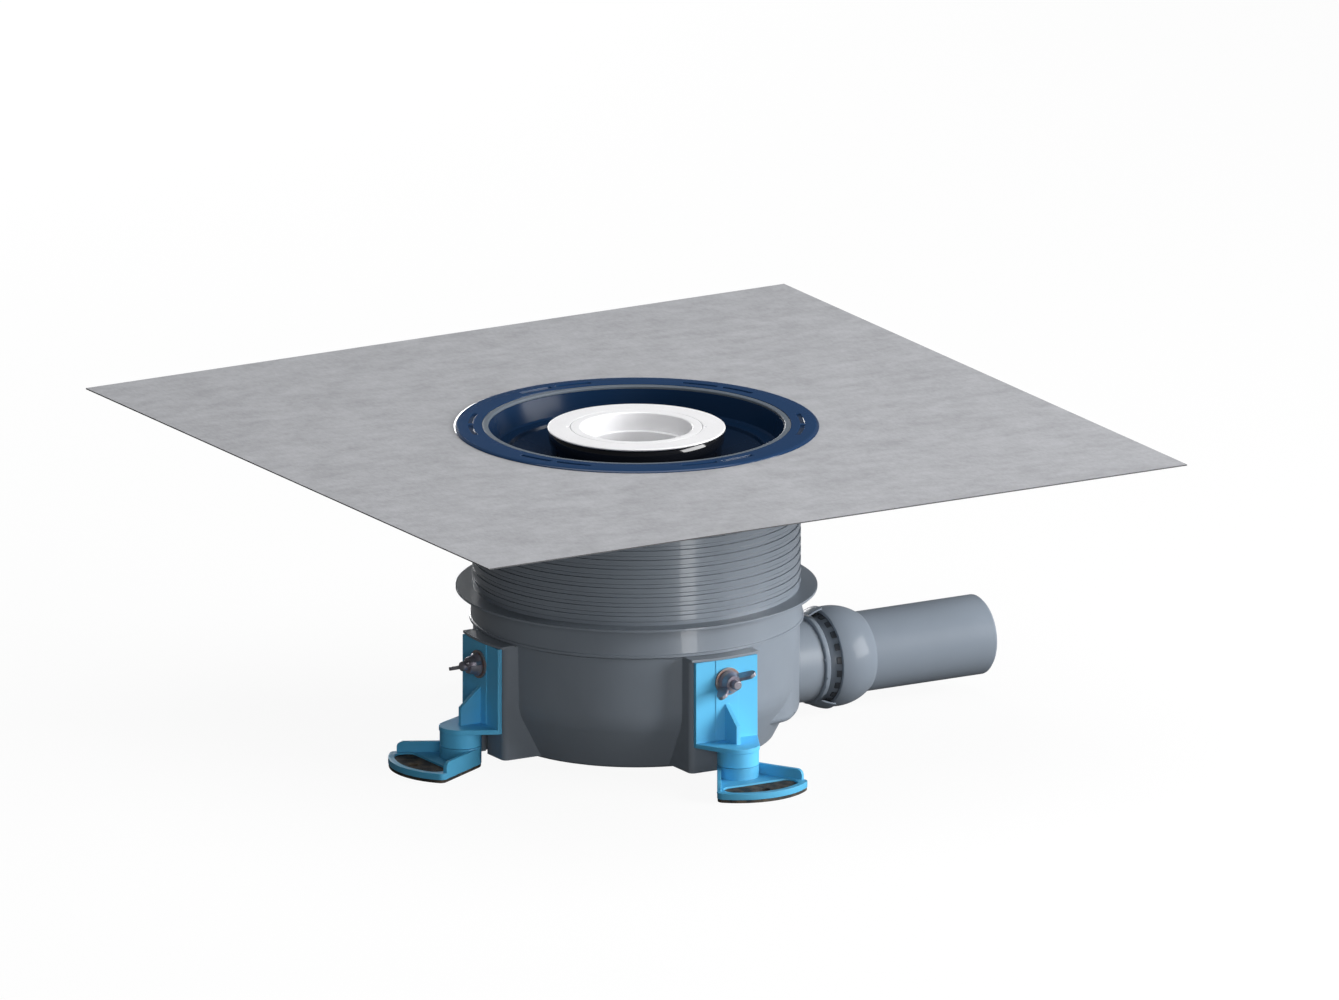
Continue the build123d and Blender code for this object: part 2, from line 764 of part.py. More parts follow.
# Angle bracket: plate on the pad, shelf, gusset and the socket for the foot's spindle
spindle_top = leg_split_z + spindle_h
shelf_low = plate_bottom - shelf_t
with BuildPart() as bracket:
    with BuildSketch(Plane.YZ.offset(plate_in)):
        with Locations((0, (plate_bottom + plate_top) / 2)):
            Rectangle(plate_width, plate_top - plate_bottom)
    extrude(amount=plate_t)
    with BuildSketch(Plane.YZ.offset(plate_out)):
        with Locations((0, (plate_bottom + plate_top) / 2)):
            Rectangle(band_width, plate_top - plate_bottom)
    extrude(amount=band_t)
    with BuildSketch(Plane.XY.offset(shelf_low)):
        with Locations((plate_in + plate_t / 2, 0)):
            Rectangle(plate_t, plate_width)
        with Locations((leg_x, 0)):
            Circle(leg_r + shelf_nose_over)
        make_hull()
    extrude(amount=shelf_t)
    with BuildSketch(Plane.XZ.offset(-gusset_t / 2)):
        with BuildLine():
            Polyline(
                (plate_out, plate_bottom),
                (plate_out, plate_bottom + gusset_h),
                (leg_x + gusset_nose_over, plate_bottom + gusset_nose_h),
                (leg_x + gusset_nose_over, plate_bottom),
                close=True,
            )
        make_face()
    extrude(amount=gusset_t)
    with BuildSketch(Plane.XY.offset(leg_split_z + slide_gap)):
        with Locations((leg_x, 0)):
            Circle(leg_r)
            Circle(spindle_r + turn_gap, mode=Mode.SUBTRACT)
    extrude(amount=shelf_low - leg_split_z - slide_gap)
    with BuildSketch(Plane.YZ.offset(plate_in)):
        with Locations((0, bolt_z)):
            Circle(bolt_r + slide_gap)
    extrude(amount=plate_t + band_t, mode=Mode.SUBTRACT)

# Foot: sector tray with two walls, a window for the rubber, and the spindle
wall_turn = radians(tray_half_angle)
wall_reach = sqrt(tray_r**2 - leg_r**2)
wall_dir = Vector(cos(wall_turn), sin(wall_turn))
wall_side = Vector(-sin(wall_turn), cos(wall_turn))
tray_tip = wall_side * leg_r + wall_dir * wall_reach


def tray_face(inset=0.0):
    """The tray's outline about the leg's axis: the leg's circle, two tangents and an arc."""
    start = wall_side * (leg_r - inset)
    tip = start + wall_dir * (sqrt((tray_r - inset) ** 2 - (leg_r - inset) ** 2))
    with BuildSketch() as face:
        with BuildLine():
            Line((start.X, -start.Y), (tip.X, -tip.Y))
            ThreePointArc((tip.X, -tip.Y), (tray_r - inset, 0), (tip.X, tip.Y))
            Line((tip.X, tip.Y), (start.X, start.Y))
            ThreePointArc((start.X, start.Y), (inset - leg_r, 0), (start.X, -start.Y))
        make_face()
        fillet(face.vertices().group_by(Axis.X)[-1], tray_corner - inset)
    return face.sketch_local


def window_face(inset=0.0):
    """The kidney window in the tray: between a straight inner edge and an outer arc."""
    with BuildSketch() as face:
        Circle(recess_out - inset)
        with Locations(((recess_in + inset + recess_out) / 2, 0)):
            Rectangle(recess_out - recess_in - inset, 2 * (recess_half - inset), mode=Mode.INTERSECT)
        fillet(face.vertices(), recess_round - inset)
    return face.sketch_local


leg_place = Plane(origin=(leg_x, 0, 0))
with BuildPart() as foot:
    with BuildSketch(leg_place.offset(tray_bottom)):
        add(tray_face())
        add(window_face(), mode=Mode.SUBTRACT)
    extrude(amount=tray_top - tray_bottom)
    with BuildSketch(leg_place.offset(tray_top)):
        Circle(leg_r)
    extrude(amount=leg_split_z - tray_top)
    with BuildSketch(leg_place.offset(leg_split_z)):
        Circle(spindle_r)
    extrude(amount=spindle_h)
    # Walls along both straight sides, with a rounded corner at the rim
    for side in (-1, 1):
        outward = Vector(wall_side.X, side * wall_side.Y)
        inward_plane = Plane(
            origin=Vector(leg_x, 0, 0) + outward * leg_r,
            x_dir=(wall_dir.X, side * wall_dir.Y, 0),
            z_dir=(-side * outward.X, -side * outward.Y, 0),
        )
        wall_low = tray_top - wall_root
        wall_up = 1 if inward_plane.y_dir.Z > 0 else -1
        wall_points = [
            (0, wall_up * wall_low),
            (wall_reach - wall_inset, wall_up * wall_low),
            (wall_reach - wall_inset, wall_up * wall_top),
            (0, wall_up * wall_top),
        ]
        with BuildSketch(inward_plane):
            add(outline(wall_points, {2: wall_corner}))
        extrude(amount=side * wall_t)

# Rubber pad: sole under the tray and a raised field in its window
with BuildPart() as foot_pad:
    with BuildSketch(leg_place):
        add(tray_face(fit_gap))
    extrude(amount=tray_bottom)
    with BuildSketch(leg_place.offset(tray_bottom)):
        add(window_face(slide_gap))
    extrude(amount=rubber_top - tray_bottom)
    with BuildSketch(leg_place):
        with Locations((screw_hole_x, 0)):
            Circle(screw_hole_r)
    extrude(amount=rubber_top, mode=Mode.SUBTRACT)

# Fastener: stud with its square head in the pad's slot, washer and wing nut
head_out = tee_in - fit_gap
nut_seat = plate_out + band_t + washer_t
with BuildPart() as stud:
    with BuildSketch(Plane.YZ.offset(head_out - bolt_head_t)):
        with Locations((0, bolt_z)):
            Rectangle(bolt_head, bolt_head)
    extrude(amount=bolt_head_t)
    with BuildSketch(Plane.YZ.offset(head_out)):
        with Locations((0, bolt_z)):
            Circle(bolt_r)
    extrude(amount=plate_out + bolt_reach - head_out)
    chamfer(stud.faces().sort_by(Axis.X)[-1].edges(), bolt_chamfer)

with BuildPart() as washer:
    with BuildSketch(Plane.YZ.offset(plate_out + band_t)):
        with Locations((0, bolt_z)):
            Circle(washer_r)
            Circle(bolt_r + slide_gap, mode=Mode.SUBTRACT)
    extrude(amount=washer_t)

nut_low = nut_seat + slide_gap
with BuildPart() as wing_nut:
    hub_points = [
        (0, 0),
        (hub_r + hub_foot, 0),
        (hub_r + hub_foot, hub_foot),
        (hub_r, 2 * hub_foot),
        (hub_r - hub_foot, hub_len),
        (0, hub_len),
    ]
    hub_plane = Plane(origin=(nut_low, 0, bolt_z), x_dir=(0, 0, 1), z_dir=(0, 1, 0))
    with BuildSketch(hub_plane):
        add(outline([(r, x) for r, x in hub_points]))
    revolve(axis=Axis((nut_low, 0, bolt_z), (1, 0, 0)))
    # Wings: upright blades that lean outwards and end round
    wing_plane = Plane(origin=(nut_low, 0, bolt_z), x_dir=(0, 1, 0), z_dir=(0, 0, 1))
    blade = [
        (hub_r - wing_t, wing_lift),
        (hub_r + wing_t, wing_lift),
        (wing_tip_r, wing_reach - wing_tip_w),
        (wing_tip_r, wing_reach),
        (wing_tip_r - wing_tip_w, wing_reach),
        (hub_r - wing_t, hub_len - wing_lift),
    ]
    for side in (-1, 1):
        with BuildSketch(wing_plane.offset(-wing_t / 2)):
            add(outline([(side * y, -x) for y, x in blade], {2: wing_round, 3: wing_round, 4: wing_round}))
        extrude(amount=wing_t)
    with BuildSketch(Plane.YZ.offset(nut_low)):
        with Locations((0, bolt_z)):
            Circle(bolt_r + turn_gap)
    extrude(amount=hub_len, mode=Mode.SUBTRACT)

bolt_axis = Axis((0, 0, bolt_z), (1, 0, 0))
for side, (angle, nut_turn) in SIDES.items():
    save(bracket.part.rotate(Axis.Z, angle), f"bracket_{side}")
    save(foot.part.rotate(Axis.Z, angle), f"foot_{side}")
    save(foot_pad.part.rotate(Axis.Z, angle), f"foot_pad_{side}")
    save(stud.part.rotate(Axis.Z, angle), f"stud_{side}")
    save(washer.part.rotate(Axis.Z, angle), f"washer_{side}")
    save(wing_nut.part.rotate(bolt_axis, nut_turn).rotate(Axis.Z, angle), f"wing_nut_{side}")
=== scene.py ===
"""Shower drain body: its looks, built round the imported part.

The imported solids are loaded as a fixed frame. Each operator below finishes one piece, or one
group of like pieces, in the place where its solids are, and the panel in the sidebar lists them.
Lengths are metres in the part's own frame: the floor is z = 0 and the outlet points along +X.
"""

import json
import math

import bpy
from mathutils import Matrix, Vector

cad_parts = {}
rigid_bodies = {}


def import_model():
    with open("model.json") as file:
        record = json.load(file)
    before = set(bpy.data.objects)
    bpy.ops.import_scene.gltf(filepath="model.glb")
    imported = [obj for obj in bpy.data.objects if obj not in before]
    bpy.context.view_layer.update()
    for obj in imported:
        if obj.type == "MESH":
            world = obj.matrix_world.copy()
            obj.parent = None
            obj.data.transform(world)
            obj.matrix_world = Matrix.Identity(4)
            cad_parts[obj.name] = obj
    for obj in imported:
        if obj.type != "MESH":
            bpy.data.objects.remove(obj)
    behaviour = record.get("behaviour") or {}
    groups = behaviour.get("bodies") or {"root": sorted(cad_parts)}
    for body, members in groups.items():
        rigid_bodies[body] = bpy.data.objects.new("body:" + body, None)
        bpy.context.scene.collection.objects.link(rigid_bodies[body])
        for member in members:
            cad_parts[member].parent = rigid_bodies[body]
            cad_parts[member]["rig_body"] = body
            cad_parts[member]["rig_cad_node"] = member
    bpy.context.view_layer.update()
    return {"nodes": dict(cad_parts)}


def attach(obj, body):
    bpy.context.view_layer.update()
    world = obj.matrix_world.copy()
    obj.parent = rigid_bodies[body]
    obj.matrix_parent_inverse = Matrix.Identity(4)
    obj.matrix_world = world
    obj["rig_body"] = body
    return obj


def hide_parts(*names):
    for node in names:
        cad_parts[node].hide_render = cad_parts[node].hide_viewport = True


bl_info = {
    "name": "Shower drain body",
    "version": (1, 0, 0),
    "blender": (4, 5, 0),
    "location": "3D View > Sidebar > Drain",
    "description": "Models and finishes a floor drain body round its packed frame",
    "category": "Add Mesh",
}

MM = 0.001
SIDES = ("front", "left", "back")
WHITE = (1, 1, 1, 1)
BLACK = (0, 0, 0, 1)

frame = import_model()

SOLID_MERGE = 0.002 * MM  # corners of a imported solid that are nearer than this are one
TURNED_MERGE = 0.01 * MM  # the same for a turned piece
SAME_PLANE = math.radians(0.3)  # faces within this angle are one
SHARP = math.radians(30)  # edges sharper than this are rounded
ROUNDING_STEPS = 2

# Lamps: azimuth and elevation in degrees, distance and size in metres, power in watts, and the
# kind of ray that doesn't see the lamp
LAMPS = (
    ("Key", 53, 14, 2.2, (1.5, 1.2), 74, None),
    ("Above", -20, 82, 2.2, (2.6, 2.6), 44, None),
    ("Fill", -25, 8, 2.2, (1.0, 1.0), 11, "glossy"),
    ("Back", 170, 10, 2.2, (1.2, 1.0), 17, "glossy"),
    ("Strip", 1, -10, 0.42, (0.075, 0.16), 0.33, "diffuse"),
    ("Edge", 168, 5, 2.2, (0.9, 0.45), 12, "diffuse"),
)
CAMERA_AWAY = 2.5
CAMERA_REACH = 20
FLOOR_SIDE = 40
FLOOR_BELOW = 0.05 * MM
FLOOR_BOUNCE = 0.15  # share of the floor's colour that light bounces off
FLOOR_GLOW = 0.93  # share of plain white in what the camera sees of the floor
ROOM_GLOW = 0.055  # strength of the room as a lamp
GLOSS_SHARE = 0.04  # share of the white background that shows in gloss

# Outlines of the turned pieces: radius and height of each corner, in millimetres
RING = (
    (91.6, 200.4), (95.9, 200.4), (95.9, 202.5), (101.6, 202.5), (104.4, 202.5), (111.2, 202.5),
    (112.4, 202.2), (113.2, 201.7), (113.6, 201.0), (97.6, 201.0), (97.6, 196.0), (94.9, 194.0),
    (94.9, 185.1), (97.6, 185.1), (97.6, 183.5), (93.6, 183.5), (93.6, 176.5), (97.6, 176.5),
    (97.6, 174.9), (90.9, 174.9), (90.9, 184.4), (81.0, 184.4), (80.0, 182.0), (59.0, 173.9),
    (50.5, 173.9), (50.5, 176.5), (58.0, 176.5), (79.0, 184.6), (80.0, 186.8), (81.0, 187.0),
    (87.0, 187.0), (88.4, 188.0),
)
RIM_LIP = (
    (92.0, 200.4), (95.8, 200.4), (95.8, 202.0), (95.2, 202.3), (92.9, 202.3), (92.0, 201.9),
)
TRAP_FLANGE = (
    (41.2, 200.8), (44.2, 200.8), (54.8, 200.8), (55.25, 200.4), (55.2, 200.0), (54.5, 199.3),
    (50.2, 199.3), (50.2, 192.3), (48.4, 192.3), (48.4, 199.3), (43.2, 199.3), (43.2, 185.4),
    (38.6, 185.4), (38.6, 187.0), (41.2, 187.0),
)
DIP_TUBE = (
    (35.2, 200.7), (36.2, 200.8), (40.9, 200.8), (40.9, 188.5), (38.9, 188.5), (38.9, 198.7),
    (36.6, 198.7), (36.6, 189.0), (34.0, 187.0), (34.0, 112.0), (32.0, 112.0), (32.0, 189.0),
    (34.6, 189.0), (34.6, 200.2),
)
TRAP_CUP = (
    (44.0, 95.0), (48.6, 96.7), (50.2, 101.2), (50.2, 178.0), (53.0, 178.0), (53.0, 190.0),
    (54.2, 191.4), (54.6, 193.0), (54.6, 195.6), (54.0, 197.6), (53.0, 199.3),
    (50.5, 199.3), (50.5, 180.5), (47.7, 178.0), (47.7, 102.0), (46.0, 98.6), (42.0, 97.5),
)
RISER_LOW = (
    (98.2, 200.0), (98.2, 96.0), (100.6, 96.0), (100.6, 79.4), (103.8, 79.4), (103.8, 81.0),
    (103.0, 81.4), (102.0, 98.3), (112.3, 98.3), (112.3, 99.8), (101.2, 99.8),
)
# The riser's ribs, and the fine groove under and over each, in millimetres
RIBS = {
    "count": 16, "start": 102.8, "pitch": 6.0, "width": 3.0, "root": 101.2, "top": 102.0,
    "groove": 100.8, "under": 0.65, "over": 0.25,
}
# The short slots in the ring's top, in millimetres, and in degrees from the middle of each pair
SLOT = {
    "pairs": 6, "inner": 101.6, "outer": 104.4, "above": 202.4, "depth": 1.0, "from": 1.0,
    "to": 14.0,
}
# One rib of the ring's funnel: a box whose outer foot goes up, and whose inner head goes down
# and out, in millimetres
FUNNEL_RIB = {
    "count": 6, "size": (19.5, 2.0, 9.5), "middle": (69.75, 0, 181.25), "turn": 30,
    "foot_up": 7.5, "head_down": 5.5, "head_out": 1.0,
}
# Size and middle of the boxes that cut the cup's windows and the flange's grip notches
WINDOW = ((120, 30, 18), (0, 0, 159))
WINDOW_TURNS = (0, 60, 120)
NOTCHES = ((86.5, 3.0, 2.0), (0, 0, 201.0))
NOTCHES_TURN = -30

# Painted shade in the ring's well: heights in the ring, and the share of its colour that is left
# below each
RING_PAINTED_SHADE = ((202.3 * MM, 0.5), (188 * MM, 0.75))
# height over which the painted shade in the well fades in
PAINTED_SHADE_BLEND = 2 * MM
# Where a piece has its glossy coat: an axis, and two places on it
RING_POLISH = ("Z", 201.2 * MM, 202.4 * MM)
RISER_POLISH = ("Z", 78 * MM, 200 * MM)
SOCKET_POLISH = ("X", 122 * MM, 156 * MM)
POLISH_BLEND = 0.1 * MM
GRAIN = 0.02 * MM
FINE_GRAIN = 0.002 * MM
FOOT_PAINTED_SHADE = 0.76  # the feet's share of the brackets' colour: the same blue darkened as painted shade
NOISE_SPAN = (0.3, 0.7)  # most of a noise lies in it


# Properties


def length(name, description, default):
    return bpy.props.FloatProperty(
        name=name, description=description, default=default, min=0, unit="LENGTH", precision=5
    )


def colour(name, description, default):
    return bpy.props.FloatVectorProperty(
        name=name, description=description, default=default, size=3, min=0, max=1, subtype="COLOR"
    )


class DrainSizes(bpy.types.PropertyGroup):
    moulded_edge: length("Moulded edge", "Rounding along the edges of plastic pieces", 0.3 * MM)
    metal_edge: length("Metal edge", "Rounding along the edges of steel pieces", 0.15 * MM)
    seal_edge: length("Seal edge", "Rounding along the edges of rubber seals", 0.1 * MM)


class DrainColours(bpy.types.PropertyGroup):
    sheet: colour("Sheet", "Fleece of the sealing sheet", (0.385, 0.39, 0.41))
    ring: colour("Ring", "Dark blue adapter ring", (0.012, 0.042, 0.112))
    body: colour("Body", "Grey bowl and riser", (0.24, 0.275, 0.32))
    pipe: colour("Pipe", "Grey ball joint and pipe", (0.215, 0.25, 0.295))
    rim_seal: colour("Rim seal", "Grey lip in the ring's inner edge", (0.125, 0.15, 0.18))
    seal: colour("Seal", "Black rubber seals", (0.012, 0.012, 0.013))
    # the ball ring is the body's grey; this darker colour is painted shade in the socket's mouth
    ball_ring: colour("Ball ring", "Ring in the mouth of the ball socket", (0.06, 0.068, 0.078))
    trap_black: colour("Trap cup", "Black cup of the trap", (0.008, 0.009, 0.012))
    trap_white: colour("Trap flange", "White flange and tube of the trap", (0.93, 0.93, 0.945))
    bracket: colour("Bracket", "Light blue brackets and feet", (0.125, 0.56, 0.9))
    rubber: colour("Foot rubber", "Black rubber under the feet", (0.03, 0.032, 0.033))
    dust: colour("Dust", "Dusty patches on the foot rubber", (0.12, 0.095, 0.07))
    steel: colour("Steel", "Studs and wing nuts", (0.33, 0.33, 0.37))
    steel_stain: colour("Steel stain", "Stains on the studs and wing nuts", (0.30, 0.27, 0.33))
    washer: colour("Washer", "Washers under the wing nuts", (0.34, 0.30, 0.30))
    washer_stain: colour("Washer stain", "Stains on the washers", (0.38, 0.24, 0.2))


class DrainStage(bpy.types.PropertyGroup):
    azimuth: bpy.props.FloatProperty(
        name="Azimuth", description="Turn of the camera round the drain",
        default=math.radians(-30), subtype="ANGLE",
    )
    elevation: bpy.props.FloatProperty(
        name="Elevation", description="Camera's height above the horizon",
        default=math.radians(15), subtype="ANGLE",
    )
    width: length("View width", "Width that the camera takes in", 0.8305)
    target: bpy.props.FloatVectorProperty(
        name="Target", description="Point in the middle of the view",
        default=(0.0118, -0.0205, 0.1568), subtype="TRANSLATION", unit="LENGTH",
    )
    floor: colour("Floor", "Floor under the drain", (0.86, 0.86, 0.86))


# Selecting and shaping


def only(*pieces):
    """Selects these pieces and nothing else, the first of them active."""
    bpy.ops.object.select_all(action="DESELECT")
    for piece in pieces:
        piece.select_set(True)
    bpy.context.view_layer.objects.active = pieces[0]


def modify(piece, kind, **settings):
    """Adds one modifier and applies it."""
    only(piece)
    modifier = piece.modifiers.new(kind, kind)
    for key, value in settings.items():
        setattr(modifier, key, value)
    bpy.ops.object.modifier_apply(modifier=modifier.name)


def merged_copy(node, name):
    """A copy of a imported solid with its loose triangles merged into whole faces."""
    only(frame["nodes"][node])
    bpy.ops.object.duplicate()
    piece = bpy.context.object
    piece.name = piece.data.name = name
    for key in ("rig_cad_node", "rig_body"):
        del piece[key]
    bpy.ops.mesh.customdata_custom_splitnormals_clear()
    bpy.ops.object.mode_set(mode="EDIT")
    bpy.ops.mesh.select_all(action="SELECT")
    bpy.ops.mesh.remove_doubles(threshold=SOLID_MERGE)
    bpy.ops.mesh.dissolve_limited(angle_limit=SAME_PLANE)
    bpy.ops.object.mode_set(mode="OBJECT")
    return piece


def rounded(piece, width):
    """Rounds the sharp edges and smooths the faces between them."""
    modify(
        piece, "BEVEL", width=width, segments=ROUNDING_STEPS, limit_method="ANGLE",
        angle_limit=SHARP, use_clamp_overlap=False, miter_outer="MITER_ARC",
    )
    only(piece)
    bpy.ops.object.shade_smooth_by_angle(angle=SHARP)
    modify(piece, "WEIGHTED_NORMAL", mode="FACE_AREA", weight=100, keep_sharp=True)
    return piece


def turned(name, outline, segments=240, closed=True):
    """Turns an outline of (radius, height) corners in millimetres round the Z axis.

    A closed outline ends where it began. One that isn't closed has its open ends filled.
    """
    bpy.ops.object.select_all(action="DESELECT")
    radius, height = outline[0]
    bpy.ops.mesh.primitive_circle_add(
        vertices=segments, radius=radius * MM, location=(0, 0, height * MM)
    )
    piece = bpy.context.object
    piece.name = piece.data.name = name
    bpy.ops.object.transform_apply()
    bpy.ops.object.mode_set(mode="EDIT")
    bpy.ops.mesh.select_all(action="SELECT")
    for wide, high in (*outline[1:], *([outline[0]] if closed else [])):
        bpy.ops.mesh.extrude_edges_move(
            TRANSFORM_OT_translate={"value": (0, 0, (high - height) * MM)}
        )
        bpy.ops.transform.resize(
            value=(wide / radius, wide / radius, 1), center_override=(0, 0, high * MM)
        )
        radius, height = wide, high
    bpy.ops.mesh.select_all(action="SELECT")
    bpy.ops.mesh.remove_doubles(threshold=TURNED_MERGE)
    if not closed:
        bpy.ops.mesh.fill_holes(sides=0)
    bpy.ops.mesh.normals_make_consistent(inside=False)
    bpy.ops.object.mode_set(mode="OBJECT")
    return piece


def pick(piece, kind, test):
    """Selects the corners or faces whose place passes the test, and goes into edit mode."""
    only(piece)
    bpy.ops.object.mode_set(mode="EDIT")
    bpy.ops.mesh.select_mode(type="FACE" if kind == "polygons" else "VERT")
    bpy.ops.mesh.select_all(action="DESELECT")
    bpy.ops.object.mode_set(mode="OBJECT")
    for item in getattr(piece.data, kind):
        place = item.center if kind == "polygons" else item.co
        item.select = test(place / MM)
    bpy.ops.object.mode_set(mode="EDIT")


def cut(piece, *cutters):
    """Takes the cutters out of a piece."""
    for cutter in cutters:
        modify(piece, "BOOLEAN", operation="DIFFERENCE", solver="EXACT", object=cutter)
        bpy.data.objects.remove(cutter)
    return piece


def block(name, size, middle, turn=0.0):
    """A box in millimetres, turned round the Z axis by an angle in degrees."""
    bpy.ops.object.select_all(action="DESELECT")
    bpy.ops.mesh.primitive_cube_add(size=1)
    piece = bpy.context.object
    piece.name = piece.data.name = name
    piece.scale = Vector(size) * MM
    piece.location = Vector(middle) * MM
    bpy.ops.object.transform_apply()
    piece.rotation_euler.z = math.radians(turn)
    bpy.ops.object.transform_apply()
    return piece


def joined(*pieces):
    """Several meshes made one piece, which keeps the first one's name."""
    only(*pieces)
    bpy.ops.object.join()
    return pieces[0]


def fitted(piece, finish, node):
    """Gives a piece its material and the body of the solid that it stands for, and hides that
    solid.
    """
    piece.data.materials.clear()
    piece.data.materials.append(finish)
    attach(piece, frame["nodes"][node]["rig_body"])
    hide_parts(node)
    return piece


def dressed(node, name, edge, finish):
    """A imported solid's copy with its edges rounded, in the solid's place."""
    return fitted(rounded(merged_copy(node, name), edge), finish, node)


# Shader maths


class Value:
    """A shader socket that takes part in Python expressions."""

    def __init__(self, shader, socket):
        self.shader, self.socket = shader, socket

    def maths(self, operation, first, second):
        return self.shader.node("Math", {"operation": operation}, {0: first, 1: second})

    def __add__(self, other):
        return self.maths("ADD", self, other)

    def __sub__(self, other):
        return self.maths("SUBTRACT", self, other)

    def __mul__(self, other):
        return self.maths("MULTIPLY", self, other)

    def __rsub__(self, other):
        return self.maths("SUBTRACT", other, self)

    __radd__, __rmul__ = __add__, __mul__


class Shader:
    """The nodes of a new material or world."""

    def __init__(self, owner):
        owner.use_nodes = True
        self.owner, self.tree = owner, owner.node_tree
        self.tree.nodes.clear()

    def node(self, kind, settings=None, values=None, out=0):
        """One node: its settings first, then its sockets' values or links. Returns an output."""
        made = self.tree.nodes.new("ShaderNode" + kind)
        for key, value in (settings or {}).items():
            setattr(made, key, value)
        for key, value in (values or {}).items():
            if isinstance(value, Value):
                self.tree.links.new(value.socket, made.inputs[key])
            else:
                made.inputs[key].default_value = value
        return Value(self, made.outputs[out]) if made.outputs else None

    def place(self):
        """The place on the piece, in metres from the origin."""
        return self.node("TexCoord", out="Object")

    def along(self, axis, vector):
        """What a vector measures on one axis."""
        return self.node("SeparateXYZ", {}, {"Vector": vector}, out=axis)

    def noise(self, size, detail=3, roughness=0.5, stretch=(1, 1, 1)):
        """Clouds of about this size, from 0 to 1."""
        place = self.node("Mapping", {}, {"Vector": self.place(), "Scale": stretch})
        return self.node(
            "TexNoise", {},
            {"Vector": place, "Scale": 1 / size, "Detail": detail, "Roughness": roughness},
        )

    def between(self, value, low, high, to_low=0.0, to_high=1.0):
        """Spreads the span from low to high of a value over a new span, and stops at its ends."""
        spans = {"From Min": low, "From Max": high, "To Min": to_low, "To Max": to_high}
        return self.node("MapRange", {"clamp": True}, {"Value": value, **spans})

    def mix(self, share, first, second):
        """Two colours mixed, all of the second where the share is 1."""
        return self.node("Mix", {"data_type": "RGBA"}, {0: share, 6: first, 7: second}, out=2)

    def varied(self, share, rgb, spread):
        """A colour, darker by the spread where the share is 0 and lighter where it is 1."""
        return self.mix(share, shade(rgb, 1 - spread), shade(rgb, 1 + spread))

    def bump(self, height, depth):
        """A surface that stands up by depth where height is 1."""
        return self.node("Bump", {}, {"Height": height, "Distance": depth, "Strength": 1.0})

    def surface(self, **values):
        """The material's one shader, from its sockets' names with _ for each space."""
        made = self.node(
            "BsdfPrincipled", {}, {key.replace("_", " "): value for key, value in values.items()}
        )
        self.node("OutputMaterial", {}, {"Surface": made})
        return self.owner


def material(name):
    """The shader of a new material."""
    return Shader(bpy.data.materials.new(name))


def shade(rgb, factor=1.0):
    """A colour made lighter or darker, with its alpha."""
    return (*(min(1.0, part * factor) for part in rgb), 1.0)


def moulded(name, rgb, roughness, gloss, grain=GRAIN, coat=0.0, shade_depths=(), polish=None):
    """Injection moulded plastic: faint clouds of colour, flow marks and a fine spark grain.

    The painted shade holds heights and shares: below each height the colour keeps only that
    share.
    polish is an axis and two places on it: the coat is there between those places only.
    """
    shader = material(name)
    clouds = shader.between(shader.noise(40 * MM), *NOISE_SPAN)
    flow = shader.noise(14 * MM, stretch=(1, 1, 0.25))
    spark = shader.noise(0.7 * MM, detail=2)
    colour = shader.varied(clouds * 0.6 + flow * 0.4, rgb, 0.05)
    if polish:
        axis, near, far = polish
        along = shader.along(axis, shader.place())
        begun = shader.between(along, near, near + POLISH_BLEND)
        ended = shader.between(along, far - POLISH_BLEND, far)
        coat = (1 - ended) * begun * coat
    # painted shade: the colour darkens towards black below each height
    for level, share in shade_depths:
        height = shader.along("Z", shader.place())
        left = shader.between(height, level - PAINTED_SHADE_BLEND, level, share, 1.0)
        colour = shader.mix(left, BLACK, colour)
    dull = shader.between(spark, *NOISE_SPAN, roughness * 0.9, roughness * 1.1)
    return shader.surface(
        Base_Color=colour, Roughness=dull, Specular_IOR_Level=gloss, Coat_Weight=coat,
        Coat_Roughness=0.05, Normal=shader.bump(spark, grain),
    )


# Operators


